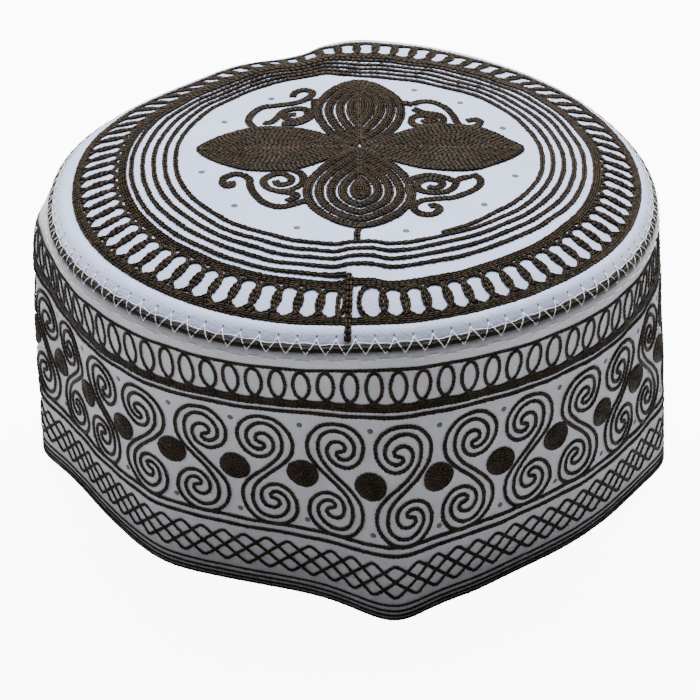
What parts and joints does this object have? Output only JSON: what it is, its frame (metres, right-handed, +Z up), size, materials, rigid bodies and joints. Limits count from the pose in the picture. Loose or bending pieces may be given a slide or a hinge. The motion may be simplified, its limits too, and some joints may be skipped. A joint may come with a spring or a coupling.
{
  "type": "embroidered prayer cap",
  "caption": "Round prayer cap with a domed crown, an upright folded side band, a stitched seam and raised thread ornament, open below for the head.",
  "frame": {"origin": "on the surface that the rim rests on, under the middle of the cap's outline", "axes": "+Z up through the crown, -Y towards the sharp front fold of the band, +X to the right in the picture"},
  "size_m": [0.1912, 0.1842, 0.1016],
  "materials": {
    "crown_cloth": "fine white cotton twill with a slight blue cast, matt",
    "band_cloth": "fine white cotton twill, matt, slightly satin on the plain strips",
    "dark_thread": "very dark brown glossy embroidery thread in chain stitch, with olive flecks",
    "white_thread": "thin white sewing thread in a zigzag over the seam"
  },
  "bodies": {
    "root": {"crown": "crown_cloth", "band": "band_cloth", "seam_thread": "dark_thread", "ladder_ring": "dark_thread", "petal_right": "dark_thread", "petal_back": "dark_thread", "petal_left": "dark_thread", "petal_front": "dark_thread"}
  },
  "joints": []
}
